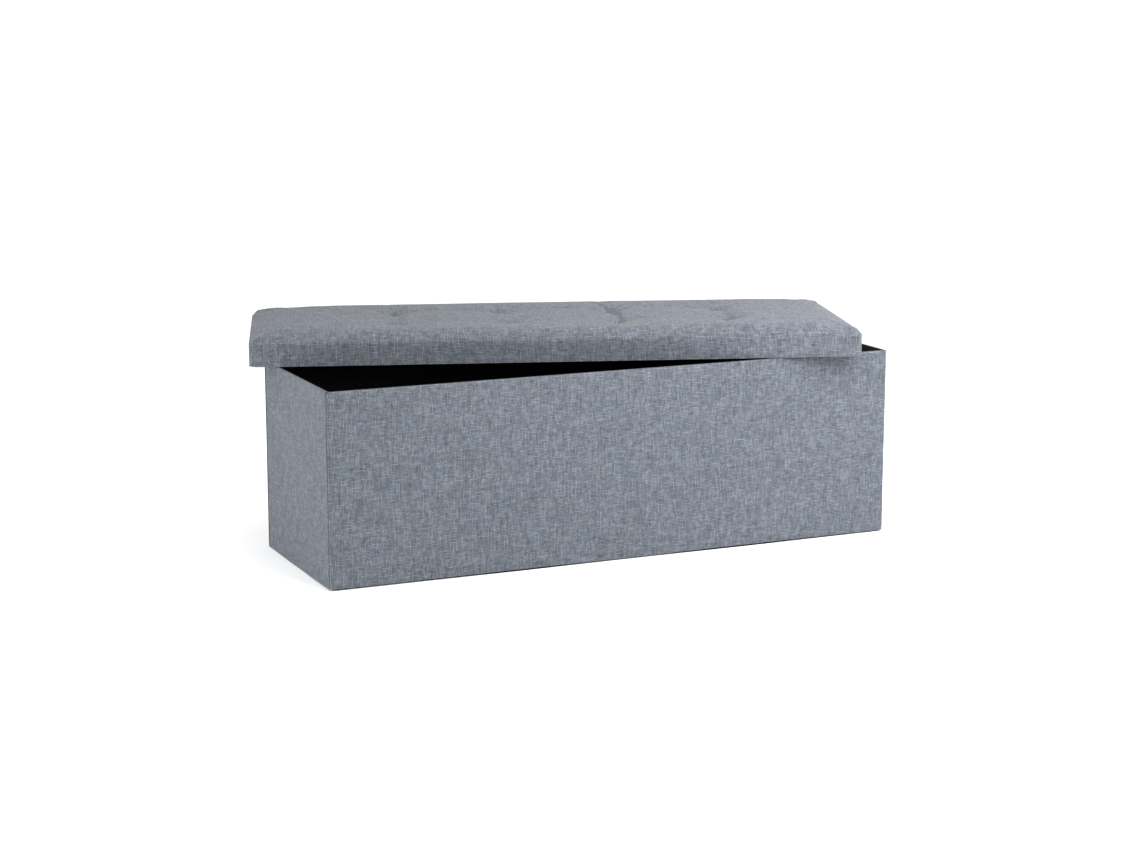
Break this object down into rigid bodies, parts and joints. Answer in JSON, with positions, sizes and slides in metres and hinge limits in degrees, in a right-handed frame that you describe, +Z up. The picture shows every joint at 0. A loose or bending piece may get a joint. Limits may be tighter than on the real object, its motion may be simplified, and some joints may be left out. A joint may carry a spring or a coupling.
{
  "type": "storage bench",
  "caption": "Long fabric-covered storage bench: a folding box of stiff lined panels with a padded, tufted lift-off lid lying askew on its rim.",
  "frame": {"origin": "on the floor, at the middle of the box footprint", "axes": "+X along the length of the box, +Y from the front wall to the rear wall, +Z up"},
  "size_m": [1.198, 0.7078, 0.4146],
  "materials": {
    "linen": "woven linen-look polyester, grey-blue, slubby",
    "black_cloth": "black non-woven lining cloth",
    "board": "raw fibreboard",
    "foam": "soft open-cell foam",
    "thread": "waxed upholstery twine on a moulded back button"
  },
  "bodies": {
    "box_frame": {"front_wall_board": "board", "front_wall_cover": "linen", "front_wall_lining": "black_cloth", "front_wall_hem": "linen", "base_board_left": "board", "base_board_right": "board", "base_lining": "black_cloth", "bottom_cloth": "black_cloth"},
    "left_front": {"left_front_panel_board": "board", "left_front_panel_cover": "linen", "left_front_panel_lining": "black_cloth", "left_front_panel_hem": "linen"},
    "left_rear": {"left_rear_panel_board": "board", "left_rear_panel_cover": "linen", "left_rear_panel_lining": "black_cloth", "left_rear_panel_hem": "linen"},
    "rear": {"rear_wall_board": "board", "rear_wall_cover": "linen", "rear_wall_lining": "black_cloth", "rear_wall_hem": "linen"},
    "right_front": {"right_front_panel_board": "board", "right_front_panel_cover": "linen", "right_front_panel_lining": "black_cloth", "right_front_panel_hem": "linen"},
    "right_rear": {"right_rear_panel_board": "board", "right_rear_panel_cover": "linen", "right_rear_panel_lining": "black_cloth", "right_rear_panel_hem": "linen"},
    "lid": {"lid_board": "board", "lid_foam": "foam", "lid_cover": "linen", "lid_lining": "black_cloth", "lid_skirt_front": "board", "lid_skirt_rear": "board", "lid_skirt_left": "board", "lid_skirt_right": "board", "tuft_1": "thread", "tuft_2": "thread", "tuft_3": "thread", "tuft_4": "thread", "tuft_5": "thread", "tuft_6": "thread", "tuft_7": "thread", "tuft_8": "thread"}
  },
  "joints": [
    {"name": "lid_lift", "type": "slide", "parent": "box_frame", "child": "lid", "axis": [0, 0, 1], "range_m": [0, 0.4]},
    {"name": "fold", "type": "hinge", "parent": "box_frame", "child": "left_front", "pos_m": [-0.5532, -0.1762, 0], "axis": [0, 0, -1], "range_deg": [0, 90], "deforming": ["left_front_panel_hem"]},
    {"name": "left_crease", "type": "hinge", "parent": "left_front", "child": "left_rear", "pos_m": [-0.5606, 0, 0], "axis": [0, 0, 1], "range_deg": [0, 180], "deforming": ["left_rear_panel_hem"]},
    {"name": "rear_fold", "type": "hinge", "parent": "left_rear", "child": "rear", "pos_m": [-0.5532, 0.1762, 0], "axis": [0, 0, -1], "range_deg": [0, 90], "deforming": ["rear_wall_hem"]},
    {"name": "right_fold", "type": "hinge", "parent": "box_frame", "child": "right_front", "pos_m": [0.5532, -0.1762, 0], "axis": [0, 0, 1], "range_deg": [0, 90], "deforming": ["right_front_panel_hem"]},
    {"name": "right_crease", "type": "hinge", "parent": "right_front", "child": "right_rear", "pos_m": [0.5606, 0, 0], "axis": [0, 0, -1], "range_deg": [0, 180], "deforming": ["right_rear_panel_hem"]}
  ],
  "couplings": [
    {"joint": "left_crease", "follows": "fold", "ratio": 2},
    {"joint": "rear_fold", "follows": "fold", "ratio": 1},
    {"joint": "right_fold", "follows": "fold", "ratio": 1},
    {"joint": "right_crease", "follows": "fold", "ratio": 2}
  ]
}
